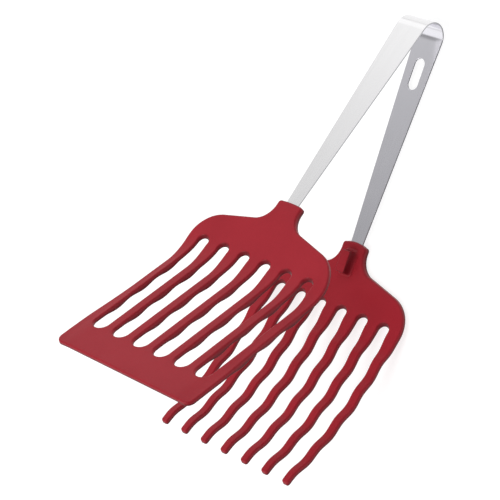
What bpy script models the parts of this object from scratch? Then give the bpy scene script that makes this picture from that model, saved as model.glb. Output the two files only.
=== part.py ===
"""Kitchen turning tongs: one sprung steel strap with a slotted turner blade and a tined fork.

Frame: +X runs across the heads, +Y from the heads to the bow, +Z up. The tongs lie on the flat
underside of the fork's neck, with the blade on top, and the origin is under the middle of the box.
Everything is laid out along two paths in the YZ plane that start on the crest of the bow. A station
on a path has a distance, a height across the thickness and a place along X.
"""
import math

import bmesh
import bpy
from mathutils import Vector

MM = 0.001
DEG = math.radians(1.0)

# Strap: one steel strip, bent into a round bow with two tapering arms.
STRAP_THICKNESS = 1.2 * MM
STRAP_WIDTH_AT_BOW = 27.0 * MM
STRAP_WIDTH_AT_NECK = 12.0 * MM
BOW_RADIUS = 12.5 * MM
ARM_LENGTH = 162.3 * MM
OPENING_ANGLE = 21.0 * DEG
TANG_LENGTH = 20.0 * MM
CREST_GAP = 0.3 * MM
BOW_STEPS = 12

# Hanging slot in the fork's arm, measured along the arm from the end of the bow.
HANGING_SLOT_START = 15.0 * MM
HANGING_SLOT_LENGTH = 24.5 * MM
HANGING_SLOT_WIDTH = 9.5 * MM
HANGING_SLOT_STEPS = 10

# Both heads share a plan: a collar, a neck that flares into round shoulders, and seven bars.
BAR_COUNT = 7
BAR_PITCH = 22.0 * MM
COLLAR_HALF_WIDTH = 11.8 * MM
COLLAR_CORNER = 2.5 * MM
FLARE_START = 4.6 * MM
FLARE_RADIUS = 15.6 * MM
SHOULDER_RADIUS = 27.0 * MM
SHOULDER_SLOPE = 13.5 * DEG
SHOULDER_HALF_WIDTH = 71.6 * MM
SHOULDER_END = 52.6 * MM
SLOT_START = 48.2 * MM
SLOT_TOP_RADIUS = 5.2 * MM
SLOT_HALF_WIDTH = 7.1 * MM
SLOT_FULL_WIDTH_AT = 76.0 * MM

# Blade: a smooth outer face, three grip ridges inside the bars and a solid front edge.
BLADE_LENGTH = 187.0 * MM
BLADE_STRAIGHT = 47.5 * MM
BLADE_BEND_LENGTH = 31.5 * MM
BLADE_BEND = 25.0 * DEG
BLADE_SLOT_END = 162.0 * MM
BLADE_SIDE_WAIST = 68.3 * MM
BLADE_FRONT_HALF_WIDTH = 71.9 * MM
BLADE_FRONT_CORNER = 6.0 * MM
BLADE_OUTER = 1.6 * MM
BLADE_INNER = 1.9 * MM
BLADE_THIN_FROM = 12.0 * MM
BLADE_THIN_AT = 32.0 * MM
RIDGE_HEIGHT = 1.4 * MM
RIDGE_FIRST = 82.7 * MM
RIDGE_COUNT = 3

# Fork: seven tines that curve up to the blade and ripple along their length.
FORK_LENGTH = 189.9 * MM
FORK_STRAIGHT = 21.0 * MM
FORK_BEND_LENGTH = 23.0 * MM
FORK_BEND = 13.5 * DEG
FORK_TINE_CURVE = 25.6 * DEG
FORK_INNER = 1.4 * MM
FORK_OUTER = 2.4 * MM
FORK_RIPPLE = 0.85 * MM
FORK_FIRST_CREST = 75.7 * MM
FORK_SAG = 0.7 * MM
FORK_SAG_FROM = 85.0 * MM
FORK_SAG_TO = 175.0 * MM
FORK_SAG_EASE = 30.0 * MM
FORK_ROOT_HALF_WIDTH = 4.2 * MM
FORK_TIP_HALF_WIDTH = 3.2 * MM

RIPPLE_LENGTH = 26.0 * MM
RIPPLE_STEPS = 8

# Neck: thick enough to hold the strap's tang, with a stop fin on the inner face.
NECK_HALF_THICKNESS = 2.7 * MM
TANG_CLEARANCE = 0.3 * MM
FIN_HALF_WIDTH = 4.5 * MM
FIN_START = 6.0 * MM
FIN_END = 23.4 * MM
FIN_HEIGHT = 7.0 * MM
FIN_ROOT = 2.0 * MM

STEEL = (0.62, 0.62, 0.65)
RED_NYLON = (0.38, 0.03, 0.045)


def ease(value, low, high):
    """Smooth step from 0 at low to 1 at high."""
    t = min(max((value - low) / (high - low), 0.0), 1.0)
    return t * t * (3.0 - 2.0 * t)


def circle_half(radius, offset):
    """Half chord of a circle at an offset from its centre."""
    return math.sqrt(max(radius * radius - offset * offset, 0.0))


# ---- Side view: the two paths ------------------------------------------------------------------

HALF_BOW = (math.pi - OPENING_ANGLE) / 2.0
BOW_LENGTH = BOW_RADIUS * HALF_BOW
COLLAR_AT = BOW_LENGTH + ARM_LENGTH
CREST_ANGLE = -OPENING_ANGLE / 2.0
CREST = (BOW_RADIUS * math.cos(CREST_ANGLE), BOW_RADIUS * math.sin(CREST_ANGLE))

FORK_STRETCHES = (
    (BOW_LENGTH, HALF_BOW),
    (ARM_LENGTH + FORK_STRAIGHT, 0.0),
    (FORK_BEND_LENGTH, FORK_BEND),
    (FORK_LENGTH - FORK_STRAIGHT - FORK_BEND_LENGTH, FORK_TINE_CURVE),
)
BLADE_STRETCHES = (
    (BOW_LENGTH, -HALF_BOW),
    (ARM_LENGTH + BLADE_STRAIGHT, 0.0),
    (BLADE_BEND_LENGTH, BLADE_BEND),
    (BLADE_LENGTH - BLADE_STRAIGHT - BLADE_BEND_LENGTH, 0.0),
)
FORK_HEADING = -HALF_BOW
BLADE_HEADING = OPENING_ANGLE + HALF_BOW


def walk(stretches, heading, distance):
    """Place and heading at a distance from the crest; a heading of 0 points to -Y, 90 degrees to +Z."""
    y, z = CREST
    left = distance
    for index, (length, turn) in enumerate(stretches):
        last = index == len(stretches) - 1
        step = left if last else min(left, length)
        rate = turn / length
        if abs(rate) < 1e-9:
            y -= step * math.cos(heading)
            z += step * math.sin(heading)
        else:
            ahead = heading + rate * step
            y -= (math.sin(ahead) - math.sin(heading)) / rate
            z -= (math.cos(ahead) - math.cos(heading)) / rate
            heading = ahead
        left -= step
        if left <= 0.0 and not last:
            break
    return y, z, heading


def fork_place(x, distance, height):
    """Point on the fork's side; height is positive towards the blade."""
    y, z, heading = walk(FORK_STRETCHES, FORK_HEADING, distance)
    return Vector((x, y + height * math.sin(heading), z + height * math.cos(heading)))


def blade_place(x, distance, height):
    """Point on the blade's side; height is positive on the outer face."""
    y, z, heading = walk(BLADE_STRETCHES, BLADE_HEADING, distance)
    return Vector((x, y + height * math.sin(heading), z + height * math.cos(heading)))


# ---- Plan view: outlines shared by both heads ----------------------------------------------------

FLARE_CENTRE = COLLAR_HALF_WIDTH + FLARE_RADIUS
FLARE_END = FLARE_START + FLARE_RADIUS * math.cos(SHOULDER_SLOPE)
FLARE_END_WIDTH = FLARE_CENTRE - FLARE_RADIUS * math.sin(SHOULDER_SLOPE)
SHOULDER_CENTRE = SHOULDER_HALF_WIDTH - SHOULDER_RADIUS
SHOULDER_START = SHOULDER_END - SHOULDER_RADIUS * math.cos(SHOULDER_SLOPE)
SHOULDER_START_WIDTH = SHOULDER_CENTRE + SHOULDER_RADIUS * math.sin(SHOULDER_SLOPE)


def neck_and_shoulder(u):
    """Half width of a head from the collar to the end of the shoulder."""
    if u < COLLAR_CORNER:
        return COLLAR_HALF_WIDTH - COLLAR_CORNER + circle_half(COLLAR_CORNER, COLLAR_CORNER - u)
    if u < FLARE_START:
        return COLLAR_HALF_WIDTH
    if u < FLARE_END:
        return FLARE_CENTRE - circle_half(FLARE_RADIUS, u - FLARE_START)
    if u < SHOULDER_START:
        part = (u - FLARE_END) / (SHOULDER_START - FLARE_END)
        return FLARE_END_WIDTH + part * (SHOULDER_START_WIDTH - FLARE_END_WIDTH)
    return SHOULDER_CENTRE + circle_half(SHOULDER_RADIUS, min(u - SHOULDER_END, 0.0))


def blade_half_width(u):
    """Half width of the blade: waisted beside the bars and widest at the front."""
    if u <= SHOULDER_END:
        return neck_and_shoulder(u)
    waist = BLADE_SIDE_WAIST - SHOULDER_HALF_WIDTH
    flare = BLADE_FRONT_HALF_WIDTH - BLADE_SIDE_WAIST
    side = SHOULDER_HALF_WIDTH + waist * ease(u, SHOULDER_END, SLOT_FULL_WIDTH_AT)
    side += flare * ease(u, RIDGE_FIRST + RIPPLE_LENGTH, BLADE_SLOT_END)
    corner_from = BLADE_LENGTH - BLADE_FRONT_CORNER
    if u > corner_from:
        side -= BLADE_FRONT_CORNER - circle_half(BLADE_FRONT_CORNER, u - corner_from)
    return side


def tine_half_width(u):
    """Half width of a tine, which narrows to its tip."""
    part = (u - SLOT_FULL_WIDTH_AT) / (FORK_LENGTH - SLOT_FULL_WIDTH_AT)
    return FORK_ROOT_HALF_WIDTH + max(part, 0.0) * (FORK_TIP_HALF_WIDTH - FORK_ROOT_HALF_WIDTH)


def fork_half_width(u):
    """Half width of the fork over its outermost tines."""
    if u <= SHOULDER_END:
        return neck_and_shoulder(u)
    outer_tine = (BAR_COUNT - 1) / 2.0 * BAR_PITCH + tine_half_width(u)
    return SHOULDER_HALF_WIDTH + ease(u, SHOULDER_END, RIDGE_FIRST) * (outer_tine - SHOULDER_HALF_WIDTH)


def slot_top(u, full_half_width):
    """Half width of a slot near its round top, which opens out to its full width."""
    round_end = SLOT_START + SLOT_TOP_RADIUS
    if u < round_end:
        return circle_half(SLOT_TOP_RADIUS, round_end - u)
    return SLOT_TOP_RADIUS + ease(u, round_end, SLOT_FULL_WIDTH_AT) * (full_half_width - SLOT_TOP_RADIUS)


def blade_slot(u):
    """Half width of a blade slot; it ends in a half circle."""
    round_start = BLADE_SLOT_END - SLOT_HALF_WIDTH
    if u > round_start:
        return circle_half(SLOT_HALF_WIDTH, u - round_start)
    return slot_top(u, SLOT_HALF_WIDTH)


def fork_slot(u):
    """Half width of the gap between two tines, open at the tips."""
    return slot_top(u, BAR_PITCH / 2.0 - tine_half_width(u))


# ---- Heights of the faces --------------------------------------------------------------------------

def blade_faces(u):
    """Heights of the blade's inner and outer faces."""
    outer = NECK_HALF_THICKNESS + ease(u, FIN_START, BLADE_STRAIGHT) * (BLADE_OUTER - NECK_HALF_THICKNESS)
    inner = NECK_HALF_THICKNESS + ease(u, BLADE_THIN_FROM, BLADE_THIN_AT) * (BLADE_INNER - NECK_HALF_THICKNESS)
    ridges_from = RIDGE_FIRST - RIPPLE_LENGTH / 2.0
    along = u - ridges_from
    if 0.0 < along < RIDGE_COUNT * RIPPLE_LENGTH:
        inner += RIDGE_HEIGHT / 2.0 * (1.0 - math.cos(2.0 * math.pi * along / RIPPLE_LENGTH))
    return -inner, outer


def fork_faces(u):
    """Heights of the fork's outer and inner faces; both follow the ripple."""
    below = NECK_HALF_THICKNESS + ease(u, FORK_STRAIGHT, SLOT_START) * (FORK_OUTER - NECK_HALF_THICKNESS)
    above = NECK_HALF_THICKNESS + ease(u, FIN_START, SLOT_START) * (FORK_INNER - NECK_HALF_THICKNESS)
    ripple = FORK_RIPPLE * math.cos(2.0 * math.pi * (u - FORK_FIRST_CREST) / RIPPLE_LENGTH)
    ripple *= ease(u, SHOULDER_END, FORK_FIRST_CREST)
    ripple -= FORK_SAG * ease(u, FORK_SAG_FROM, FORK_SAG_FROM + FORK_SAG_EASE)
    ripple += FORK_SAG * ease(u, FORK_SAG_TO - FORK_SAG_EASE, FORK_SAG_TO)
    return ripple - below, ripple + above


def frame_origin():
    """Middle of the box along Y, and the underside of the fork's neck."""
    back = BOW_RADIUS + STRAP_THICKNESS / 2.0
    front = fork_place(0.0, COLLAR_AT + FORK_LENGTH, fork_faces(FORK_LENGTH)[0]).y
    return Vector((0.0, (front + back) / 2.0, -BOW_RADIUS - NECK_HALF_THICKNESS))


ORIGIN = frame_origin()


# ---- Stations along a head -------------------------------------------------------------------------

def spaced(low, high, count):
    """Evenly spaced values from low to high, without high."""
    return [low + (high - low) * step / count for step in range(count)]


def neck_stations():
    """Stations from the collar to the slots' round tops, closer together on the curves."""
    stations = spaced(0.0, COLLAR_CORNER, 2) + [COLLAR_CORNER]
    for angle in spaced(0.0, math.pi / 2.0 - SHOULDER_SLOPE, 6):
        stations.append(FLARE_START + FLARE_RADIUS * math.sin(angle))
    stations.append(FLARE_END)
    slot_angle = math.acos((SHOULDER_END - SLOT_START) / SHOULDER_RADIUS)
    for angle in spaced(SHOULDER_SLOPE, slot_angle, 7):
        stations.append(SHOULDER_END - SHOULDER_RADIUS * math.cos(angle))
    for angle in spaced(0.0, math.pi / 2.0, 4):
        stations.append(SLOT_START + SLOT_TOP_RADIUS * (1.0 - math.cos(angle)))
    return stations


def blade_stations():
    """Stations of the blade, from the collar to the front edge."""
    stations = neck_stations()
    round_start = BLADE_SLOT_END - SLOT_HALF_WIDTH
    straight_from = SLOT_START + SLOT_TOP_RADIUS
    count = round((round_start - straight_from) / RIPPLE_LENGTH * RIPPLE_STEPS)
    stations += spaced(straight_from, round_start, count)
    for angle in spaced(0.0, math.pi / 2.0, 5):
        stations.append(round_start + SLOT_HALF_WIDTH * math.sin(angle))
    stations.append(BLADE_SLOT_END)
    corner_from = BLADE_LENGTH - BLADE_FRONT_CORNER
    stations.append((BLADE_SLOT_END + corner_from) / 2.0)
    for angle in spaced(0.0, math.pi / 2.0, 5):
        stations.append(corner_from + BLADE_FRONT_CORNER * math.sin(angle))
    stations.append(BLADE_LENGTH)
    return stations


def fork_stations():
    """Stations of the fork, from the collar to the tips."""
    stations = neck_stations()
    straight_from = SLOT_START + SLOT_TOP_RADIUS
    count = round((FORK_LENGTH - straight_from) / RIPPLE_LENGTH * RIPPLE_STEPS)
    return stations + spaced(straight_from, FORK_LENGTH, count) + [FORK_LENGTH]


# ---- Building --------------------------------------------------------------------------------------

def clear_scene():
    """Remove every object that is in the file."""
    for item in list(bpy.data.objects):
        bpy.data.objects.remove(item, do_unlink=True)


def make_material(name, colour, metallic, roughness):
    """A Principled BSDF material."""
    material = bpy.data.materials.new(name)
    material.use_nodes = True
    shader = material.node_tree.nodes["Principled BSDF"]
    shader.inputs["Base Color"].default_value = (*colour, 1.0)
    shader.inputs["Metallic"].default_value = metallic
    shader.inputs["Roughness"].default_value = roughness
    return material


def add_object(name, bm, material=None):
    """Close a bmesh into an object, with its faces pointing out."""
    bmesh.ops.recalc_face_normals(bm, faces=bm.faces[:])
    mesh = bpy.data.meshes.new(name)
    bm.to_mesh(mesh)
    bm.free()
    mesh.shade_smooth()
    mesh.set_sharp_from_angle(angle=30.0 * DEG)
    if material is not None:
        mesh.materials.append(material)
    item = bpy.data.objects.new(name, mesh)
    bpy.context.collection.objects.link(item)
    return item


def move_origin(item, centre):
    """Put the object's origin on a point without moving its shape."""
    item.data.transform(item.matrix_world.Translation(-centre))
    item.location = centre


def apply_boolean(item, cutter, operation):
    """Add an EXACT Boolean to an object and hide its cutter."""
    cutter.hide_render = True
    cutter.display_type = 'WIRE'
    modifier = item.modifiers.new(cutter.name, 'BOOLEAN')
    modifier.operation = operation
    modifier.solver = 'EXACT'
    modifier.object = cutter


def swept_section(name, place, distances, half_width, low, high, material=None):
    """A rectangular section swept along a path, closed at both ends."""
    bm = bmesh.new()
    rings = []
    for distance in distances:
        half = half_width(distance)
        corners = ((-half, low), (half, low), (half, high), (-half, high))
        rings.append([bm.verts.new(place(x, distance, height) - ORIGIN) for x, height in corners])
    for ring, following in zip(rings, rings[1:]):
        for corner in range(4):
            nearby = (corner + 1) % 4
            bm.faces.new((ring[corner], ring[nearby], following[nearby], following[corner]))
    bm.faces.new(rings[0])
    bm.faces.new(rings[-1])
    return add_object(name, bm, material)


def strap_half_width(distance):
    """Half width of the strap: full round the bow, then an even taper to the neck and tang."""
    part = min(max((distance - BOW_LENGTH) / ARM_LENGTH, 0.0), 1.0)
    return (STRAP_WIDTH_AT_BOW + part * (STRAP_WIDTH_AT_NECK - STRAP_WIDTH_AT_BOW)) / 2.0


def make_arm(name, place, material):
    """Half of the strap, from the crest of the bow to the end of its tang."""
    distances = spaced(CREST_GAP / 2.0, BOW_LENGTH, BOW_STEPS)
    distances += [BOW_LENGTH, COLLAR_AT, COLLAR_AT + TANG_LENGTH]
    half = STRAP_THICKNESS / 2.0
    return swept_section(name, place, distances, strap_half_width, -half, half, material)


def make_hanging_slot():
    """Cutter for the round-ended slot that the tongs hang from."""
    radius = HANGING_SLOT_WIDTH / 2.0
    centres = (
        BOW_LENGTH + HANGING_SLOT_START + radius,
        BOW_LENGTH + HANGING_SLOT_START + HANGING_SLOT_LENGTH - radius,
    )
    bm = bmesh.new()
    levels = []
    for height in (-STRAP_THICKNESS * 2.0, STRAP_THICKNESS * 2.0):
        outline = []
        for centre, start in zip(centres, (math.pi, 0.0)):
            for step in range(HANGING_SLOT_STEPS + 1):
                angle = start + math.pi * step / HANGING_SLOT_STEPS
                x = radius * math.cos(angle)
                distance = centre + radius * math.sin(angle)
                outline.append(bm.verts.new(fork_place(x, distance, height) - ORIGIN))
        levels.append(outline)
    low, high = levels
    count = len(low)
    for index in range(count):
        nearby = (index + 1) % count
        bm.faces.new((low[index], low[nearby], high[nearby], high[index]))
    bm.faces.new(low)
    bm.faces.new(high)
    return add_object("hanging_slot_cutter", bm)


def head_columns(u, half_width, slot):
    """Left and right edges of the seven bars at a station; slot is None where the head is solid."""
    half = half_width(u)
    middle = (BAR_COUNT - 1) / 2.0
    if slot is None:
        outer = half_width(SLOT_START)
        scale = half / outer if u < SLOT_START else 1.0
        lines = [-half]
        for index in range(BAR_COUNT - 1):
            lines.append((index - middle + 0.5) * BAR_PITCH * scale)
        lines.append(half)
        return list(zip(lines, lines[1:]))
    gap = slot(u)
    columns = []
    for index in range(BAR_COUNT):
        centre = (index - middle) * BAR_PITCH
        left = -half if index == 0 else centre - BAR_PITCH / 2.0 + gap
        right = half if index == BAR_COUNT - 1 else centre + BAR_PITCH / 2.0 - gap
        columns.append((left, right))
    return columns


def make_head(name, place, stations, half_width, slot, slot_end, faces, material):
    """A head as rows of cells, one cell for each bar, that join up where the head is solid.

    The slots run from SLOT_START to slot_end, which is infinite where they are open at the tips.
    """
    bm = bmesh.new()
    rows = []
    for u in stations:
        is_open = SLOT_START < u < slot_end
        low, high = faces(u)
        known = {}
        row = []
        for edges in head_columns(u, half_width, slot if is_open else None):
            cell = []
            for x in edges:
                key = round(x, 7)
                if key not in known:
                    distance = COLLAR_AT + u
                    bottom = bm.verts.new(place(x, distance, low) - ORIGIN)
                    top = bm.verts.new(place(x, distance, high) - ORIGIN)
                    known[key] = (bottom, top)
                cell.append(known[key])
            row.append(cell)
        rows.append(row)
    for (u, row), (following_u, following) in zip(zip(stations, rows), zip(stations[1:], rows[1:])):
        is_split = SLOT_START < (u + following_u) / 2.0 < slot_end
        for index in range(BAR_COUNT):
            (left, right), (next_left, next_right) = row[index], following[index]
            bm.faces.new((left[1], right[1], next_right[1], next_left[1]))
            bm.faces.new((left[0], next_left[0], next_right[0], right[0]))
            if is_split or index == 0:
                bm.faces.new((left[0], left[1], next_left[1], next_left[0]))
            if is_split or index == BAR_COUNT - 1:
                bm.faces.new((right[0], next_right[0], next_right[1], right[1]))
    for row in (rows[0], rows[-1]):
        for left, right in row:
            bm.faces.new((left[0], right[0], right[1], left[1]))
    return add_object(name, bm, material)


def make_socket(name, place):
    """Cutter for the socket that the strap's tang sits in."""
    half = STRAP_THICKNESS / 2.0 + TANG_CLEARANCE

    def socket_half_width(distance):
        return STRAP_WIDTH_AT_NECK / 2.0 + TANG_CLEARANCE

    distances = (COLLAR_AT - COLLAR_CORNER, COLLAR_AT + TANG_LENGTH + TANG_CLEARANCE)
    return swept_section(name, place, distances, socket_half_width, -half, half)


def make_fin(name, place, side):
    """Stop fin rooted in the wall over the socket; side is +1 where the inner face is on top, -1 below."""
    low, high = sorted((side * FIN_ROOT, side * (NECK_HALF_THICKNESS + FIN_HEIGHT)))

    def fin_half_width(distance):
        return FIN_HALF_WIDTH

    distances = (COLLAR_AT + FIN_START, COLLAR_AT + FIN_END)
    return swept_section(name, place, distances, fin_half_width, low, high)


def main():
    """Build the tongs."""
    clear_scene()
    steel = make_material("brushed_steel", STEEL, 1.0, 0.3)
    red = make_material("red_nylon", RED_NYLON, 0.0, 0.42)
    hinge = Vector((0.0, CREST[0], CREST[1])) - ORIGIN

    fork_arm = make_arm("fork_arm", fork_place, steel)
    apply_boolean(fork_arm, make_hanging_slot(), 'DIFFERENCE')
    fork_head = make_head("fork_head", fork_place, fork_stations(), fork_half_width, fork_slot,
                          math.inf, fork_faces, red)
    apply_boolean(fork_head, make_socket("fork_socket_cutter", fork_place), 'DIFFERENCE')
    apply_boolean(fork_head, make_fin("fork_fin_form", fork_place, 1), 'UNION')

    blade_arm = make_arm("blade_arm", blade_place, steel)
    blade_head = make_head("blade_head", blade_place, blade_stations(), blade_half_width, blade_slot,
                           BLADE_SLOT_END, blade_faces, red)
    apply_boolean(blade_head, make_socket("blade_socket_cutter", blade_place), 'DIFFERENCE')
    apply_boolean(blade_head, make_fin("blade_fin_form", blade_place, -1), 'UNION')

    move_origin(blade_arm, hinge)
    move_origin(blade_head, hinge)


main()
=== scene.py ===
"""Looks for the kitchen turning tongs: a sprung steel strap, a slotted turner blade and a rippled fork.

The frame is that of the CAD: +X across the heads, +Y towards the bow, +Z up. Plan coordinates are
(x, station): a station is a distance along a head from its collar, or along the strap from the crest.
"""

import math

import bmesh
import bpy
import numpy as np
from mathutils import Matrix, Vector
from mathutils.geometry import delaunay_2d_cdt


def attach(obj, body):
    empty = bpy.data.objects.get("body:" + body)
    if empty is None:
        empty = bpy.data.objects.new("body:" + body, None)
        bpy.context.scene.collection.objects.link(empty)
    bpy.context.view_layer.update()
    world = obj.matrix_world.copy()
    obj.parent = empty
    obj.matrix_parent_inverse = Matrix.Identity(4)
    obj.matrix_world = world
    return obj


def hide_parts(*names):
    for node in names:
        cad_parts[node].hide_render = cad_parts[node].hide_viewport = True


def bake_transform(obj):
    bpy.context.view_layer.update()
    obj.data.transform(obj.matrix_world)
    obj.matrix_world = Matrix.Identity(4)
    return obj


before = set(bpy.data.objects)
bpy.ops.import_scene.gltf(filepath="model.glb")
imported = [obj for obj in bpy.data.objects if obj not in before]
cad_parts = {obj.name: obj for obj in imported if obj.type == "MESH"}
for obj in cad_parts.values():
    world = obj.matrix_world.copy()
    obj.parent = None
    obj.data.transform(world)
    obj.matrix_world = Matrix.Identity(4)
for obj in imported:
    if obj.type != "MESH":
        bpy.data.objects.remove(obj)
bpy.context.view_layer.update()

MM = 0.001
DEG = math.radians(1.0)

# ---- Dimensions of the tongs -------------------------------------------------------------------------

# They are the CAD's, apart from BLADE_LENGTH, BLADE_SIDE_WAIST and the corners of the tines' tips.

STRAP_THICKNESS = 1.2 * MM
STRAP_WIDTH_AT_BOW = 27.0 * MM
STRAP_WIDTH_AT_NECK = 12.0 * MM
BOW_RADIUS = 12.5 * MM
ARM_LENGTH = 162.3 * MM
OPENING_ANGLE = 21.0 * DEG
TANG_LENGTH = 20.0 * MM
HANGING_SLOT_START = 15.0 * MM
HANGING_SLOT_LENGTH = 24.5 * MM
HANGING_SLOT_WIDTH = 9.5 * MM

BAR_COUNT = 7
BAR_PITCH = 22.0 * MM
COLLAR_HALF_WIDTH = 11.8 * MM
COLLAR_CORNER = 2.5 * MM
FLARE_START = 4.6 * MM
FLARE_RADIUS = 15.6 * MM
SHOULDER_RADIUS = 27.0 * MM
SHOULDER_SLOPE = 13.5 * DEG
SHOULDER_HALF_WIDTH = 71.6 * MM
SHOULDER_END = 52.6 * MM
SLOT_START = 48.2 * MM
SLOT_TOP_RADIUS = 5.2 * MM
SLOT_HALF_WIDTH = 7.1 * MM
SLOT_FULL_WIDTH_AT = 76.0 * MM

BLADE_LENGTH = 186.85 * MM
BLADE_STRAIGHT = 47.5 * MM
BLADE_BEND_LENGTH = 31.5 * MM
BLADE_BEND = 25.0 * DEG
BLADE_SLOT_END = 162.0 * MM
BLADE_SIDE_WAIST = 69.8 * MM
BLADE_FRONT_HALF_WIDTH = 71.9 * MM
BLADE_FRONT_CORNER = 6.0 * MM
BLADE_OUTER = 1.6 * MM
BLADE_INNER = 1.9 * MM
BLADE_THIN_FROM = 12.0 * MM
BLADE_THIN_AT = 32.0 * MM
RIDGE_HEIGHT = 1.4 * MM
RIDGE_FIRST = 82.7 * MM
RIDGE_COUNT = 3

FORK_LENGTH = 189.9 * MM
FORK_STRAIGHT = 21.0 * MM
FORK_BEND_LENGTH = 23.0 * MM
FORK_BEND = 13.5 * DEG
FORK_TINE_CURVE = 25.6 * DEG
FORK_INNER = 1.4 * MM
FORK_OUTER = 2.4 * MM
FORK_RIPPLE = 0.85 * MM
FORK_FIRST_CREST = 75.7 * MM
FORK_SAG = 0.7 * MM
FORK_SAG_FROM = 85.0 * MM
FORK_SAG_TO = 175.0 * MM
FORK_SAG_EASE = 30.0 * MM
FORK_ROOT_HALF_WIDTH = 4.2 * MM
FORK_TIP_HALF_WIDTH = 3.2 * MM
FORK_TIP_CORNER = 1.8 * MM
RIPPLE_LENGTH = 26.0 * MM

NECK_HALF_THICKNESS = 2.7 * MM
FIN_HALF_WIDTH = 4.5 * MM
FIN_START = 6.0 * MM
FIN_END = 23.4 * MM
FIN_HEIGHT = 7.0 * MM

# Softer forms that only the looks have.
BLADE_SET_FORWARD = 0.45 * MM
BLADE_COLLAR_BULGE = 0.4 * MM
FORK_COLLAR_BULGE = 1.6 * MM
STRAP_CORNER = 1.0 * MM

# The blade's outermost bars droop: where that grows across the blade, sets in along it, and fades.
BLADE_DROOP = 1.2 * MM
DROOP_ACROSS = (57.0 * MM, 70.0 * MM)
DROOP_SETS_IN = (40.0 * MM, 62.0 * MM)
DROOP_FADES = (130.0 * MM, 175.0 * MM)
DROOP_FADES_BY = 0.5

# The wall of a slot's end towards the bow leans, and gets more painted shade than the other walls.
SLOT_TOP_LEAN = 1.6 * MM
SLOT_TOP_SHADE = 0.5
SLOT_LEAN_FROM = SLOT_START + SLOT_TOP_RADIUS
SLOT_LEAN_TO = SLOT_START + 3.0 * SLOT_TOP_RADIUS

# A fin's plan corners, the draft of its walls, and the painted shade of its top edge.
FIN_CORNER = 1.1 * MM
FIN_DRAFT = 0.12 * MM
FIN_TOP_SHADE = 0.7
# The rings of the fillet round its foot: how far inside the outline and how high, in mm, and their painted
# shade.
FIN_FOOT = (
    (-2.3, -1.6, 0.0),
    (-2.2, 0.02, 0.0),
    (-1.5, 0.2, 0.1),
    (-0.9, 0.6, 0.25),
    (-0.45, 1.3, 0.4),
    (-0.15, 2.4, 0.55),
    (0.0, 4.0, 0.65),
)

# Rounded edges. LOW_EDGE is the low face's radius as a part of the high face's, TOP_OF_WALL is how much
# painted shade a wall has along the high face, and CAP_INSET is where the flat of a face starts, in edge
# radii.
STRAP_HALF_THICKNESS = 0.57 * MM
STRAP_EDGE = 0.3 * MM
BAR_EDGE = 1.2 * MM
NECK_EDGE = 1.5 * MM
FIN_EDGE = 0.7 * MM
EDGE_STEPS = 4
LOW_EDGE = 0.5
TOP_OF_WALL = 0.2
CAP_INSET = 1.35

# How closely outlines and faces are sampled.
ARC_SPACING = 0.6 * MM
SIDE_SPACING = 1.3 * MM
LATTICE_ALONG = 1.6 * MM
LATTICE_ACROSS = BAR_PITCH / 8.0
STRAP_LATTICE_ACROSS = 3.0 * MM
LATTICE_MARGIN = 0.6 * MM
SAME_POINT = 1e-7


def ease(value, low, high):
    """Smooth step from 0 at low to 1 at high."""
    t = min(max((value - low) / (high - low), 0.0), 1.0)
    return t * t * (3.0 - 2.0 * t)


# ---- Side view: the two paths ------------------------------------------------------------------------

HALF_BOW = (math.pi - OPENING_ANGLE) / 2.0
BOW_LENGTH = BOW_RADIUS * HALF_BOW
COLLAR_AT = BOW_LENGTH + ARM_LENGTH
CREST_ANGLE = -OPENING_ANGLE / 2.0
CREST = (BOW_RADIUS * math.cos(CREST_ANGLE), BOW_RADIUS * math.sin(CREST_ANGLE))

FORK_STRETCHES = (
    (BOW_LENGTH, HALF_BOW),
    (ARM_LENGTH + FORK_STRAIGHT, 0.0),
    (FORK_BEND_LENGTH, FORK_BEND),
    (FORK_LENGTH - FORK_STRAIGHT - FORK_BEND_LENGTH, FORK_TINE_CURVE),
)
BLADE_STRETCHES = (
    (BOW_LENGTH, -HALF_BOW),
    (ARM_LENGTH + BLADE_STRAIGHT, 0.0),
    (BLADE_BEND_LENGTH, BLADE_BEND),
    (BLADE_LENGTH - BLADE_STRAIGHT - BLADE_BEND_LENGTH, 0.0),
)
FORK_HEADING = -HALF_BOW
BLADE_HEADING = OPENING_ANGLE + HALF_BOW


def walk(stretches, heading, distance):
    """Place and heading at a distance from the crest; a heading of 0 points to -Y, 90 degrees to +Z."""
    y, z = CREST
    left = distance
    for index, (length, turn) in enumerate(stretches):
        last = index == len(stretches) - 1
        step = left if last else min(left, length)
        rate = turn / length
        if abs(rate) < 1e-9:
            y -= step * math.cos(heading)
            z += step * math.sin(heading)
        else:
            ahead = heading + rate * step
            y -= (math.sin(ahead) - math.sin(heading)) / rate
            z -= (math.cos(ahead) - math.cos(heading)) / rate
            heading = ahead
        left -= step
        if left <= 0.0 and not last:
            break
    return y, z, heading


def place(stretches, heading, x, distance, height):
    """Point at a distance along a path and a height off it."""
    y, z, heading = walk(stretches, heading, distance)
    return Vector((x, y + height * math.sin(heading), z + height * math.cos(heading)))


# ---- Heights of the faces ----------------------------------------------------------------------------

def thinned(height, u, low, high):
    """Height of a face that eases from the neck's to its own between two stations."""
    return NECK_HALF_THICKNESS + ease(u, low, high) * (height - NECK_HALF_THICKNESS)


def blade_faces(u):
    """Heights of the blade's inner and outer faces; the inner one has the ridges."""
    outer = thinned(BLADE_OUTER, u, FIN_START, BLADE_STRAIGHT)
    inner = thinned(BLADE_INNER, u, BLADE_THIN_FROM, BLADE_THIN_AT)
    ridges_from = RIDGE_FIRST - RIPPLE_LENGTH / 2.0
    along = u - ridges_from
    if 0.0 < along < RIDGE_COUNT * RIPPLE_LENGTH:
        inner += RIDGE_HEIGHT / 2.0 * (1.0 - math.cos(2.0 * math.pi * along / RIPPLE_LENGTH))
    return -inner, outer


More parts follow.
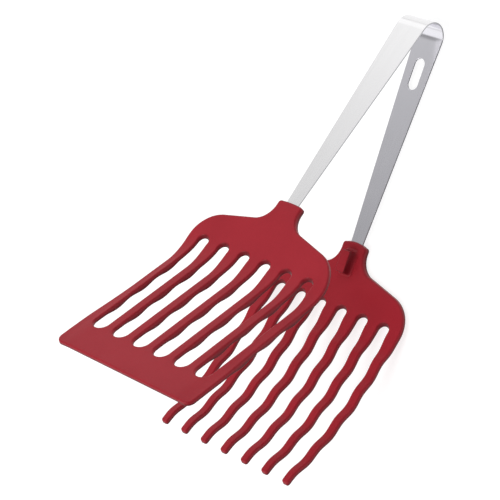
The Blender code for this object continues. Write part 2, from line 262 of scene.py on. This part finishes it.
def fork_faces(u):
    """Heights of the fork's outer and inner faces; both follow the ripple and the sag of the tines."""
    below = thinned(FORK_OUTER, u, FORK_STRAIGHT, SLOT_START)
    above = thinned(FORK_INNER, u, FIN_START, SLOT_START)
    ripple = FORK_RIPPLE * math.cos(2.0 * math.pi * (u - FORK_FIRST_CREST) / RIPPLE_LENGTH)
    ripple *= ease(u, SHOULDER_END, FORK_FIRST_CREST)
    ripple -= FORK_SAG * ease(u, FORK_SAG_FROM, FORK_SAG_FROM + FORK_SAG_EASE)
    ripple += FORK_SAG * ease(u, FORK_SAG_TO - FORK_SAG_EASE, FORK_SAG_TO)
    return ripple - below, ripple + above


def strap_faces(s):
    """Heights of the strap's inner and outer faces, the same at every station."""
    return -STRAP_HALF_THICKNESS, STRAP_HALF_THICKNESS


FORK_END = COLLAR_AT + FORK_LENGTH
FRONT_OF_FORK = place(FORK_STRETCHES, FORK_HEADING, 0.0, FORK_END, fork_faces(FORK_LENGTH)[0])
ORIGIN = Vector((
    0.0,
    (FRONT_OF_FORK.y + BOW_RADIUS + STRAP_THICKNESS / 2.0) / 2.0,
    -BOW_RADIUS - NECK_HALF_THICKNESS,
))


def fork_point(x, u, height):
    """Point of the fork; height is positive towards the blade."""
    return place(FORK_STRETCHES, FORK_HEADING, x, COLLAR_AT + u, height) - ORIGIN


def blade_point(x, u, height):
    """Point of the blade; height is positive on the outer face."""
    droop = BLADE_DROOP * ease(abs(x), *DROOP_ACROSS)
    droop *= ease(u, *DROOP_SETS_IN) * (1.0 - DROOP_FADES_BY * ease(u, *DROOP_FADES))
    distance = COLLAR_AT + BLADE_SET_FORWARD + u
    return place(BLADE_STRETCHES, BLADE_HEADING, x, distance, height - droop) - ORIGIN


def strap_point(x, s, height):
    """Point of the strap; s is positive on the fork's side, and height on the outer face."""
    if s > 0.0:
        return place(FORK_STRETCHES, FORK_HEADING, x, s, -height) - ORIGIN
    return place(BLADE_STRETCHES, BLADE_HEADING, x, -s, height) - ORIGIN


# ---- Plan view: outlines -----------------------------------------------------------------------------

FLARE_CENTRE = COLLAR_HALF_WIDTH + FLARE_RADIUS
SHOULDER_CENTRE = SHOULDER_HALF_WIDTH - SHOULDER_RADIUS


def blade_side(u):
    """Half width of the blade beside its bars: waisted, and widest at the front."""
    waist = BLADE_SIDE_WAIST - SHOULDER_HALF_WIDTH
    flare = BLADE_FRONT_HALF_WIDTH - BLADE_SIDE_WAIST
    side = SHOULDER_HALF_WIDTH + waist * ease(u, SHOULDER_END, SLOT_FULL_WIDTH_AT)
    return side + flare * ease(u, RIDGE_FIRST + RIPPLE_LENGTH, BLADE_SLOT_END)


def tine_half_width(u):
    """Half width of a tine, which narrows to its tip."""
    part = (u - SLOT_FULL_WIDTH_AT) / (FORK_LENGTH - SLOT_FULL_WIDTH_AT)
    return FORK_ROOT_HALF_WIDTH + max(part, 0.0) * (FORK_TIP_HALF_WIDTH - FORK_ROOT_HALF_WIDTH)


def fork_side(u):
    """Half width of the fork over its outermost tines."""
    outer_tine = (BAR_COUNT - 1) / 2.0 * BAR_PITCH + tine_half_width(u)
    return SHOULDER_HALF_WIDTH + ease(u, SHOULDER_END, RIDGE_FIRST) * (outer_tine - SHOULDER_HALF_WIDTH)


def widening(u, full_half_width):
    """Half width of a slot from its round top, opening out to its full width."""
    opened = ease(u, SLOT_START + SLOT_TOP_RADIUS, SLOT_FULL_WIDTH_AT)
    return SLOT_TOP_RADIUS + opened * (full_half_width - SLOT_TOP_RADIUS)


def blade_slot(u):
    """Half width of a blade slot between its round ends."""
    return widening(u, SLOT_HALF_WIDTH)


def fork_slot(u):
    """Half width of the gap between two tines."""
    return widening(u, BAR_PITCH / 2.0 - tine_half_width(u))


def strap_half_width(s):
    """Half width of the strap: full round the bow, then an even taper to the neck and tang."""
    part = min(max((abs(s) - BOW_LENGTH) / ARM_LENGTH, 0.0), 1.0)
    return (STRAP_WIDTH_AT_BOW + part * (STRAP_WIDTH_AT_NECK - STRAP_WIDTH_AT_BOW)) / 2.0


def spaced(low, high, spacing):
    """Values from low to high without high, about a spacing apart."""
    count = max(math.ceil(abs(high - low) / spacing), 1)
    return [low + (high - low) * step / count for step in range(count)]


def line(start, end):
    """Points of a straight line, without its end."""
    length = math.hypot(end[0] - start[0], end[1] - start[1])
    parts = spaced(0.0, length, SIDE_SPACING)
    return [tuple(a + (b - a) * part / length for a, b in zip(start, end)) for part in parts]


def arc(x, u, radius, start, end):
    """Points of an arc round a centre, without its end."""
    return [(x + radius * math.cos(a), u + radius * math.sin(a))
            for a in spaced(start, end, ARC_SPACING / radius)]


def side(x_at, low, high, spacing=SIDE_SPACING):
    """Points of an edge whose X is a function of the station, without its end."""
    return [(x_at(u), u) for u in spaced(low, high, spacing)]


def mirrored(points):
    """The other side of an outline, walked the other way."""
    return [(-x, u) for x, u in reversed(points)]


def neck_outline():
    """Right-hand outline of a head, from the collar's corner to the end of the shoulder."""
    shoulder_angle = SHOULDER_SLOPE - math.pi / 2.0
    flare_angle = SHOULDER_SLOPE + math.pi / 2.0
    flare_end = (
        FLARE_CENTRE + FLARE_RADIUS * math.cos(flare_angle),
        FLARE_START + FLARE_RADIUS * math.sin(flare_angle),
    )
    shoulder_start = (
        SHOULDER_CENTRE + SHOULDER_RADIUS * math.cos(shoulder_angle),
        SHOULDER_END + SHOULDER_RADIUS * math.sin(shoulder_angle),
    )
    points = arc(COLLAR_HALF_WIDTH - COLLAR_CORNER, COLLAR_CORNER, COLLAR_CORNER, -math.pi / 2.0, 0.0)
    points += side(lambda u: COLLAR_HALF_WIDTH, COLLAR_CORNER, FLARE_START, ARC_SPACING)
    points += arc(FLARE_CENTRE, FLARE_START, FLARE_RADIUS, math.pi, flare_angle)
    points += line(flare_end, shoulder_start)
    return points + arc(SHOULDER_CENTRE, SHOULDER_END, SHOULDER_RADIUS, shoulder_angle, 0.0)


def close_at_collar(right, front, bulge):
    """Whole outline from its right-hand side and its front, with a collar end that bulges in the middle."""
    half = right[0][0]
    end = [(x, -bulge * (1.0 - (x / half) ** 2)) for x in spaced(-half, half, SIDE_SPACING)]
    return right + front + mirrored(right) + end[1:]


def blade_loops():
    """Outline of the blade and its six slots, each with the material on the left."""
    corner_from = BLADE_LENGTH - BLADE_FRONT_CORNER
    corner_x = BLADE_FRONT_HALF_WIDTH - BLADE_FRONT_CORNER
    right = neck_outline() + side(blade_side, SHOULDER_END, corner_from)
    right += arc(corner_x, corner_from, BLADE_FRONT_CORNER, 0.0, math.pi / 2.0)
    front = line((corner_x, BLADE_LENGTH), (-corner_x, BLADE_LENGTH))
    front.append((-corner_x, BLADE_LENGTH))
    loops = [close_at_collar(right, front, BLADE_COLLAR_BULGE)]
    round_end = SLOT_START + SLOT_TOP_RADIUS
    round_start = BLADE_SLOT_END - SLOT_HALF_WIDTH
    for index in range(BAR_COUNT - 1):
        x = (index + 1 - BAR_COUNT / 2.0) * BAR_PITCH
        slot = arc(x, round_end, SLOT_TOP_RADIUS, 0.0, -math.pi)
        slot += side(lambda u: x - blade_slot(u), round_end, round_start)
        slot += arc(x, round_start, SLOT_HALF_WIDTH, math.pi, 0.0)
        slot += side(lambda u: x + blade_slot(u), round_start, round_end)
        loops.append(slot)
    return loops


def fork_loops():
    """Outline of the fork, round every tine."""
    corner_from = FORK_LENGTH - FORK_TIP_CORNER
    round_end = SLOT_START + SLOT_TOP_RADIUS
    half_tip = FORK_TIP_HALF_WIDTH - FORK_TIP_CORNER
    right = neck_outline() + side(fork_side, SHOULDER_END, corner_from)
    front = []
    for index in reversed(range(BAR_COUNT)):
        tine_x = (index - (BAR_COUNT - 1) / 2.0) * BAR_PITCH
        front += arc(tine_x + half_tip, corner_from, FORK_TIP_CORNER, 0.0, math.pi / 2.0)
        front += line((tine_x + half_tip, FORK_LENGTH), (tine_x - half_tip, FORK_LENGTH))
        front += arc(tine_x - half_tip, corner_from, FORK_TIP_CORNER, math.pi / 2.0, math.pi)
        if index > 0:
            x = tine_x - BAR_PITCH / 2.0
            front += side(lambda u: x + fork_slot(u), corner_from, round_end)
            front += arc(x, round_end, SLOT_TOP_RADIUS, 0.0, -math.pi)
            front += side(lambda u: x - fork_slot(u), round_end, corner_from)
    front.append((-fork_side(corner_from), corner_from))
    return [close_at_collar(right, front, FORK_COLLAR_BULGE)]


def strap_loops():
    """Outline of the whole strap and of its hanging slot."""
    end = COLLAR_AT + TANG_LENGTH
    corner_x = strap_half_width(end) - STRAP_CORNER
    right = arc(corner_x, STRAP_CORNER - end, STRAP_CORNER, -math.pi / 2.0, 0.0)
    right += side(strap_half_width, STRAP_CORNER - end, end - STRAP_CORNER)
    right += arc(corner_x, end - STRAP_CORNER, STRAP_CORNER, 0.0, math.pi / 2.0)
    far = line((corner_x, end), (-corner_x, end)) + [(-corner_x, end)]
    near = line((-corner_x, -end), (corner_x, -end))[1:]
    radius = HANGING_SLOT_WIDTH / 2.0
    low = BOW_LENGTH + HANGING_SLOT_START + radius
    high = BOW_LENGTH + HANGING_SLOT_START + HANGING_SLOT_LENGTH - radius
    slot = arc(0.0, low, radius, 0.0, -math.pi)
    slot += side(lambda s: -radius, low, high)
    slot += arc(0.0, high, radius, math.pi, 0.0)
    slot += side(lambda s: radius, high, low)
    return [right + far + mirrored(right) + near, slot]


# ---- Meshes ------------------------------------------------------------------------------------------

def inward(loop):
    """Unit normals of a closed loop towards its left, where the material is."""
    ahead = np.roll(loop, -1, axis=0) - loop
    behind = loop - np.roll(loop, 1, axis=0)
    ahead /= np.linalg.norm(ahead, axis=1)[:, None]
    behind /= np.linalg.norm(behind, axis=1)[:, None]
    tangent = ahead + behind
    tangent /= np.linalg.norm(tangent, axis=1)[:, None]
    return np.stack([-tangent[:, 1], tangent[:, 0]], axis=1)


def inside(points, loops):
    """True for each point that is in the material, by counting the outline edges beside it."""
    crossed = np.zeros(len(points), bool)
    for loop in loops:
        following = np.roll(loop, -1, axis=0)
        for (ax, au), (bx, bu) in zip(loop, following):
            if au == bu:
                continue
            spans = (points[:, 1] < max(au, bu)) & (points[:, 1] >= min(au, bu))
            x_at = ax + (points[:, 1] - au) * (bx - ax) / (bu - au)
            crossed ^= spans & (points[:, 0] < x_at)
    return crossed


def lattice(loops, along, across, margin):
    """Points on a lattice inside the loops, clear of them by a margin."""
    outline = np.vstack(loops)
    low, high = outline.min(axis=0), outline.max(axis=0)
    columns = np.arange(round(low[0] / across), round(high[0] / across) + 1) * across
    rows = np.arange(math.floor(low[1] / along), math.ceil(high[1] / along) + 1) * along
    points = np.array([(x, u) for u in rows for x in columns])
    points = points[inside(points, loops)]
    kept = [
        part[((part[:, None, :] - outline[None, :, :]) ** 2).sum(axis=2).min(axis=1) > margin ** 2]
        for part in np.array_split(points, max(len(points) // 500, 1))
    ]
    return np.vstack(kept)


def fill(loops, points):
    """Triangles that fill the loops through the lattice points."""
    corners = np.vstack(loops + [points])
    edges = []
    first = 0
    for loop in loops:
        count = len(loop)
        edges += [(first + step, first + (step + 1) % count) for step in range(count)]
        first += count
    result = delaunay_2d_cdt([Vector(corner) for corner in corners], edges, [], 1, 1e-9)
    source = [sources[0] for sources in result[3]]
    triangles = np.array([[source[corner] for corner in face] for face in result[2]])
    middles = corners[triangles].mean(axis=1)
    return triangles[inside(middles, loops)]


def slot_lean(u, facing):
    """Part of SLOT_TOP_LEAN that a wall leans by; facing is 1 where the wall faces the tip."""
    return max(facing, 0.0) * (1.0 - ease(u, SLOT_LEAN_FROM, SLOT_LEAN_TO))


def no_lean(u, facing):
    """Walls that all stand upright."""
    return 0.0


def rounded_slab(outlines, point, faces, radius, lean, low_edge, top_shade, along, across):
    """A closed slab: its faces follow faces(station), and its edges are rounded by radius(station).

    Each place on an outline gives a vertex on the high face's side and then one on the low face's side.
    Returns vertices, polygons, each vertex's plan coordinates, and how near it is to an edge times its
    painted shade.
    """
    outlines = [np.array(loop) for loop in outlines]
    profile = []
    for step in range(EDGE_STEPS + 1):
        angle = math.pi / 2.0 * step / EDGE_STEPS
        profile.append((1.0 - math.cos(angle), 1.0 - math.sin(angle), math.cos(angle)))
    profile.append((CAP_INSET, 0.0, 0.0))
    vertices, polygons, plan, edge = [], [], [], []
    caps = []
    for outline in outlines:
        normals = inward(outline)
        count = len(outline)
        starts = []
        for inset, drop, nearness in profile:
            starts.append(len(vertices))
            cap = []
            for (x, u), (nx, nu) in zip(outline, normals):
                leaning = lean(u, -nu)
                # Painted shade: top_shade on the high face's side, more where a slot's end leans, and full
                # on the low face's side.
                for upper, shade in ((1, top_shade + SLOT_TOP_SHADE * leaning), (0, 1.0)):
                    bend = radius(u) * (1.0 if upper else low_edge)
                    reach = inset * bend + upper * SLOT_TOP_LEAN * leaning
                    px, pu = x + nx * reach, u + nu * reach
                    height = faces(pu)[upper] + (1 - 2 * upper) * drop * bend
                    vertices.append(point(px, pu, height))
                    plan.append((px, pu))
                    edge.append(shade * nearness)
                    if upper:
                        cap.append((px, pu))
        caps.append((starts[-1], np.array(cap)))
        for step in range(count):
            nearby = (step + 1) % count
            for start, following in zip(starts, starts[1:]):
                for face in (0, 1):
                    polygons.append((
                        start + 2 * step + face, start + 2 * nearby + face,
                        following + 2 * nearby + face, following + 2 * step + face,
                    ))
            wall = starts[0]
            polygons.append((
                wall + 2 * step, wall + 2 * nearby, wall + 2 * nearby + 1, wall + 2 * step + 1,
            ))
    cap_loops = [cap for start, cap in caps]
    points = lattice(cap_loops, along, across, LATTICE_MARGIN)
    places = [start + 2 * step for start, cap in caps for step in range(len(cap))]
    for x, u in points:
        low, high = faces(u)
        places.append(len(vertices))
        vertices.append(point(x, u, high))
        vertices.append(point(x, u, low))
        plan += [(x, u), (x, u)]
        edge += [0.0, 0.0]
    for triangle in fill(cap_loops, points):
        for face in (0, 1):
            polygons.append(tuple(places[corner] + face for corner in triangle))
    return vertices, polygons, plan, edge


def stop_fin(point, direction):
    """The stop fin on a neck's inner face: drafted walls, a rounded top and a fillet round its foot.

    The direction is 1 where heights are positive on the inner face, and -1 where they are negative.
    """
    half = FIN_HALF_WIDTH - FIN_CORNER
    near, far = FIN_START + FIN_CORNER, FIN_END - FIN_CORNER
    outline = []
    for x, u, start in ((half, near, -90.0), (half, far, 0.0), (-half, far, 90.0), (-half, near, 180.0)):
        end = (start + 90.0) * DEG
        outline += arc(x, u, FIN_CORNER, start * DEG, end)
        outline.append((x + FIN_CORNER * math.cos(end), u + FIN_CORNER * math.sin(end)))
    outline = np.array(outline)
    outline = outline[np.linalg.norm(outline - np.roll(outline, 1, axis=0), axis=1) > SAME_POINT]
    normals = inward(outline)
    # The third value of each ring is painted shade: none at the fillet's foot, most on the fin's walls,
    # fading over its top.
    rings = [(inset * MM, height * MM, shade) for inset, height, shade in FIN_FOOT]
    for step in range(EDGE_STEPS + 1):
        angle = math.pi / 2.0 * step / EDGE_STEPS
        inset = FIN_DRAFT + FIN_EDGE * (1.0 - math.cos(angle))
        height = FIN_HEIGHT - FIN_EDGE * (1.0 - math.sin(angle))
        rings.append((inset, height, FIN_TOP_SHADE * math.cos(angle)))
    vertices, polygons, plan, edge = [], [], [], []
    count = len(outline)
    neck = direction * NECK_HALF_THICKNESS
    for ring, (inset, height, shade) in enumerate(rings):
        for (x, u), (nx, nu) in zip(outline, normals):
            px, pu = x + nx * inset, u + nu * inset
            vertices.append(point(px, pu, neck + direction * height))
            plan.append((px, pu))
            edge.append(shade)
        if ring:
            base = (ring - 1) * count
            for step in range(count):
                nearby = (step + 1) % count
                polygons.append((base + step, base + nearby, base + count + nearby, base + count + step))
    polygons.append(tuple(range(count)))
    polygons.append(tuple(range(len(vertices) - count, len(vertices))))
    return vertices, polygons, plan, edge


def make_piece(name, shapes, material):
    """One object from closed shapes, with its plan coordinates as a UV map and its "edge" attribute."""
    vertices, polygons, plan, edge = [], [], [], []
    for shape_vertices, shape_polygons, shape_plan, shape_edge in shapes:
        first = len(vertices)
        vertices += shape_vertices
        polygons += [tuple(corner + first for corner in polygon) for polygon in shape_polygons]
        plan += shape_plan
        edge += shape_edge
    mesh = bpy.data.meshes.new(name)
    mesh.from_pydata(vertices, [], polygons)
    nearness = mesh.attributes.new("edge", 'FLOAT', 'POINT')
    nearness.data.foreach_set("value", np.array(edge, np.float32))
    bm = bmesh.new()
    bm.from_mesh(mesh)
    bmesh.ops.recalc_face_normals(bm, faces=bm.faces[:])
    bm.to_mesh(mesh)
    bm.free()
    corners = np.zeros(len(mesh.loops), np.int32)
    mesh.loops.foreach_get("vertex_index", corners)
    layer = mesh.uv_layers.new(name="plan")
    layer.data.foreach_set("uv", np.array(plan, np.float32)[corners].ravel())
    mesh.shade_smooth()
    mesh.materials.append(material)
    piece = bpy.data.objects.new(name, mesh)
    bpy.context.scene.collection.objects.link(piece)
    return piece


# ---- Materials ---------------------------------------------------------------------------------------

class Nodes:
    """Short ways to add nodes to a material or world."""

    def __init__(self, owner):
        owner.use_nodes = True
        self.tree = owner.node_tree
        self.tree.nodes.clear()

    def add(self, kind, inputs=None, **settings):
        """A node with its settings, and its inputs as values or as links."""
        node = self.tree.nodes.new(kind)
        for key, value in settings.items():
            setattr(node, key, value)
        for key, value in (inputs or {}).items():
            if isinstance(value, bpy.types.NodeSocket):
                self.tree.links.new(value, node.inputs[key])
            else:
                node.inputs[key].default_value = value
        return node

    def noise(self, coordinates, scale, detail=3.0, roughness=0.5):
        """Noise from 0 to 1."""
        return self.add("ShaderNodeTexNoise", {
            "Vector": coordinates, "Scale": scale, "Detail": detail, "Roughness": roughness,
        }).outputs["Fac"]

    def between(self, value, low, high, new_low, new_high):
        """A value's range mapped to another."""
        return self.add("ShaderNodeMapRange", {
            "Value": value, "From Min": low, "From Max": high, "To Min": new_low, "To Max": new_high,
        }).outputs["Result"]

    def math(self, operation, first, second):
        """Two values combined."""
        return self.add("ShaderNodeMath", {0: first, 1: second}, operation=operation).outputs["Value"]

    def mix(self, factor, first, second, blend='MIX'):
        """Two colours mixed."""
        node = self.add("ShaderNodeMix", data_type='RGBA', blend_type=blend)
        for index, value in ((0, factor), (6, first), (7, second)):
            if isinstance(value, bpy.types.NodeSocket):
                self.tree.links.new(value, node.inputs[index])
            else:
                node.inputs[index].default_value = value
        return node.outputs[2]

    def bump(self, height, distance, strength, normal=None):
        """A bump from a height between 0 and 1."""
        inputs = {"Height": height, "Distance": distance, "Strength": strength}
        if normal is not None:
            inputs["Normal"] = normal
        return self.add("ShaderNodeBump", inputs).outputs["Normal"]

    def stretched(self, vector, scale):
        """Coordinates stretched along their axes."""
        return self.add("ShaderNodeMapping", {"Vector": vector, "Scale": scale}).outputs["Vector"]

    def finish(self, inputs):
        """The Principled shader and the output."""
        shader = self.add("ShaderNodeBsdfPrincipled", inputs)
        self.add("ShaderNodeOutputMaterial", {"Surface": shader.outputs["BSDF"]})


NYLON_DEEP = (0.300, 0.0115, 0.0210, 1.0)
NYLON_BRIGHT = (0.330, 0.0140, 0.0245, 1.0)
NYLON_SPECKLE = (0.21, 0.009, 0.016, 1.0)
NYLON_WALL_SHADE = (0.070, 0.0015, 0.0045, 1.0)

STEEL_LOW = (0.735, 0.731, 0.738, 1.0)
STEEL_HIGH = (0.785, 0.781, 0.788, 1.0)
STEEL_LINES = (0.68, 0.677, 0.683, 1.0)
STEEL_FORK_SIDE_REFLECTION_TINT = (1.0, 0.995, 1.05, 1.0)
# Edge colours: duller shear-cut steel with painted shade; the fork's side is much darker as a painted
# reflection.
EDGE_DULL_AND_SHADE_BLADE_SIDE = (0.42, 0.42, 0.44, 1.0)
EDGE_DULL_AND_SHADE_FORK_SIDE = (0.12, 0.12, 0.13, 1.0)


def red_nylon():
    """Moulded nylon: even red with a fine mould grain and light scuffs, and painted shade on its walls and
    edges.
    """
    material = bpy.data.materials.new("moulded_red_nylon")
    n = Nodes(material)
    place_on = n.add("ShaderNodeTexCoord").outputs["Object"]
    plan = n.add("ShaderNodeUVMap", uv_map="plan").outputs["UV"]
    near_edge = n.add("ShaderNodeAttribute", attribute_name="edge").outputs["Fac"]
    cloud = n.noise(place_on, 22.0, 3.0, 0.55)
    speckle = n.noise(place_on, 900.0, 2.0, 0.6)
    colour = n.mix(n.between(cloud, 0.35, 0.65, 0.0, 1.0), NYLON_DEEP, NYLON_BRIGHT)
    colour = n.mix(n.between(speckle, 0.4, 0.75, 0.0, 0.25), colour, NYLON_SPECKLE)
    # Painted shade: walls, rounded edges and the fin's walls are darkened by the "edge" attribute, a little
    # unevenly.
    wall = n.math('MULTIPLY', near_edge, n.between(n.noise(place_on, 160.0, 4.0, 0.6), 0.3, 0.7, 0.85, 1.0))
    colour = n.mix(wall, colour, NYLON_WALL_SHADE)
    scuffs = n.noise(n.stretched(plan, (420.0, 26.0, 1.0)), 1.0, 5.0, 0.65)
    worn = n.between(scuffs, 0.58, 0.72, 0.0, 1.0)
    roughness = n.between(n.noise(place_on, 55.0, 4.0, 0.6), 0.3, 0.7, 0.36, 0.46)
    roughness = n.math('ADD', roughness, n.math('MULTIPLY', worn, 0.06))
    grain = n.noise(place_on, 2600.0, 2.0, 0.5)
    normal = n.bump(grain, 0.00004, 0.35)
    normal = n.bump(n.noise(place_on, 140.0, 2.0, 0.5), 0.00012, 0.18, normal)
    normal = n.bump(scuffs, 0.00003, 0.12, normal)
    n.finish({"Base Color": colour, "Roughness": roughness, "Specular IOR Level": 0.16, "Normal": normal})
    return material


def strap_steel():
    """Satin stainless strip, brushed along its length, with faint handling marks; its shear-cut edges are
    duller and rougher, and darkened further as painted shade, darkest on the fork's side as a painted
    reflection.
    """
    material = bpy.data.materials.new("satin_steel")
    n = Nodes(material)
    plan = n.add("ShaderNodeUVMap", uv_map="plan").outputs["UV"]
    near_edge = n.add("ShaderNodeAttribute", attribute_name="edge").outputs["Fac"]
    brushing = n.noise(n.stretched(plan, (5200.0, 55.0, 1.0)), 1.0, 3.0, 0.6)
    long_lines = n.noise(n.stretched(plan, (1400.0, 9.0, 1.0)), 1.0, 2.0, 0.5)
    handled = n.noise(n.stretched(plan, (70.0, 34.0, 1.0)), 1.0, 4.0, 0.6)
    along = n.add("ShaderNodeSeparateXYZ", {"Vector": plan}).outputs["Y"]
    on_fork_side = n.between(along, -0.010, 0.012, 0.0, 1.0)
    colour = n.mix(n.between(brushing, 0.3, 0.7, 0.0, 1.0), STEEL_LOW, STEEL_HIGH)
    colour = n.mix(n.between(long_lines, 0.55, 0.75, 0.0, 0.35), colour, STEEL_LINES)
    # Painted reflection: the fork's side of the strap is tinted violet.
    colour = n.mix(on_fork_side, colour, STEEL_FORK_SIDE_REFLECTION_TINT, 'MULTIPLY')
    # Painted shade on the edges: duller shear-cut steel, darkened further, most on the fork's side as a
    # painted reflection.
    edge_dull_and_shade = n.between(near_edge, 0.55, 1.0, 0.0, 1.0)
    dull_and_shaded_edge = n.mix(on_fork_side, EDGE_DULL_AND_SHADE_BLADE_SIDE, EDGE_DULL_AND_SHADE_FORK_SIDE)
    colour = n.mix(edge_dull_and_shade, colour, dull_and_shaded_edge)
    roughness = n.between(brushing, 0.3, 0.7, 0.12, 0.19)
    roughness = n.math('ADD', roughness, n.between(handled, 0.45, 0.7, 0.0, 0.04))
    roughness = n.math('ADD', roughness, n.math('MULTIPLY', edge_dull_and_shade, 0.2))
    normal = n.bump(brushing, 0.00001, 0.25)
    normal = n.bump(long_lines, 0.00002, 0.15, normal)
    n.finish({"Base Color": colour, "Metallic": 1.0, "Roughness": roughness, "Normal": normal})
    return material


# ---- The pieces --------------------------------------------------------------------------------------

def head_edge(u):
    """Radius of a head's edges: softer on the thick neck than on the bars."""
    return NECK_EDGE + ease(u, FLARE_START, SLOT_START) * (BAR_EDGE - NECK_EDGE)


def strap_edge(s):
    """Radius of the strap's edges, the same at every station."""
    return STRAP_EDGE


def head_shapes(loops, point, faces, inner_direction):
    """The closed shapes of a head: its body and the stop fin on its inner face."""
    body = rounded_slab(loops, point, faces, head_edge, slot_lean, LOW_EDGE, TOP_OF_WALL,
                        LATTICE_ALONG, LATTICE_ACROSS)
    return [body, stop_fin(point, inner_direction)]


nylon = red_nylon()
steel = strap_steel()

blade = make_piece("turner_blade", head_shapes(blade_loops(), blade_point, blade_faces, -1.0), nylon)
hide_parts("blade_head")
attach(blade, "blade_side")

fork = make_piece("rippled_fork", head_shapes(fork_loops(), fork_point, fork_faces, 1.0), nylon)
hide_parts("fork_head")
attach(fork, "fork_side")

strap = make_piece("spring_strap", [
    rounded_slab(strap_loops(), strap_point, strap_faces, strap_edge, no_lean, 1.0, 1.0,
                 SIDE_SPACING, STRAP_LATTICE_ACROSS),
], steel)
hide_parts("fork_arm", "blade_arm")
strap_point(0.0, BOW_LENGTH, 0.0)
strap_point(0.0, -BOW_LENGTH, 0.0)
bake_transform(strap)


# ---- Floor, light and camera -------------------------------------------------------------------------

FLOOR_HALF_SIZE = 6.0
FLOOR_GLOW = 0.79

# Brightness of the surroundings from the direction -Y (-1) to +Y (1). The strap reflects it.
SURROUNDINGS = (
    (-0.36, 0.86),
    (-0.26, 0.27),
    (-0.06, 0.31),
    (0.06, 0.54),
    (0.40, 0.60),
    (0.48, 0.66),
    (0.56, 0.98),
    (1.0, 0.98),
)

LIGHT_PLACE = (-0.25, -0.95, 2.0)
LIGHT_TARGET = (0.0, 0.0, 0.06)
LIGHT_SIZE = (1.4, 1.4)
LIGHT_POWER = 30.0
LIGHT_COLOUR = (1.0, 0.995, 0.99)

# The camera fitted to the photo.
CAMERA_LENS = 166.28
CAMERA_PLACE = (1.12353, 0.08381, 1.32437)
CAMERA_TURN = (13.6116 * DEG, 41.1552 * DEG, 25.7275 * DEG)


def area_light(name, location, target, size, power, colour):
    """A soft rectangular light aimed at a point."""
    light = bpy.data.lights.new(name, 'AREA')
    light.shape = 'RECTANGLE'
    light.size, light.size_y = size
    light.energy = power
    light.color = colour
    item = bpy.data.objects.new(name, light)
    item.location = location
    item.rotation_euler = (Vector(target) - Vector(location)).to_track_quat('-Z', 'Y').to_euler()
    bpy.context.scene.collection.objects.link(item)


def make_floor():
    """A large pale floor under the tongs, which glows a little so that it stays white."""
    material = bpy.data.materials.new("pale_floor")
    n = Nodes(material)
    place_on = n.add("ShaderNodeTexCoord").outputs["Object"]
    tone = n.mix(n.noise(place_on, 3.0), (0.30, 0.30, 0.30, 1.0), (0.32, 0.32, 0.32, 1.0))
    n.finish({"Base Color": tone, "Roughness": 0.9, "Specular IOR Level": 0.1,
              "Emission Color": (1.0, 1.0, 1.0, 1.0), "Emission Strength": FLOOR_GLOW})
    half = FLOOR_HALF_SIZE
    mesh = bpy.data.meshes.new("floor")
    corners = [(-half, -half, 0), (half, -half, 0), (half, half, 0), (-half, half, 0)]
    mesh.from_pydata(corners, [], [(0, 1, 2, 3)])
    mesh.materials.append(material)
    floor = bpy.data.objects.new("floor", mesh)
    bpy.context.scene.collection.objects.link(floor)


make_floor()

world = bpy.data.worlds.new("studio")
bpy.context.scene.world = world
sky = Nodes(world)
looked_at = sky.add("ShaderNodeTexCoord").outputs["Generated"]
direction = sky.add("ShaderNodeSeparateXYZ", {"Vector": looked_at}).outputs
ceiling = sky.add("ShaderNodeValToRGB", {"Fac": sky.between(direction["Y"], -1.0, 1.0, 0.0, 1.0)})
while len(ceiling.color_ramp.elements) < len(SURROUNDINGS):
    ceiling.color_ramp.elements.new(0.5)  # moved to its place below
for element, (place_on_y, level) in zip(ceiling.color_ramp.elements, SURROUNDINGS):
    element.position = (place_on_y + 1.0) / 2.0
    element.color = (level, level, level, 1.0)
above_horizon = sky.between(direction["Z"], 0.02, 0.20, 0.72, 1.0)
from_left = sky.between(direction["X"], -0.1, 0.5, 1.32, 0.6)
strength = sky.math('MULTIPLY', above_horizon, from_left)
background = sky.add("ShaderNodeBackground", {"Color": ceiling.outputs["Color"], "Strength": strength})
sky.add("ShaderNodeOutputWorld", {"Surface": background.outputs["Background"]})

area_light("top", LIGHT_PLACE, LIGHT_TARGET, LIGHT_SIZE, LIGHT_POWER, LIGHT_COLOUR)

camera_data = bpy.data.cameras.new("camera")
camera_data.lens = CAMERA_LENS
camera_data.sensor_width = 36.0
camera_data.clip_start = 0.05
camera_data.clip_end = 100.0
camera = bpy.data.objects.new("camera", camera_data)
camera.location = CAMERA_PLACE
camera.rotation_euler = CAMERA_TURN
bpy.context.scene.collection.objects.link(camera)
bpy.context.scene.camera = camera
bpy.context.scene.view_settings.view_transform = 'Standard'
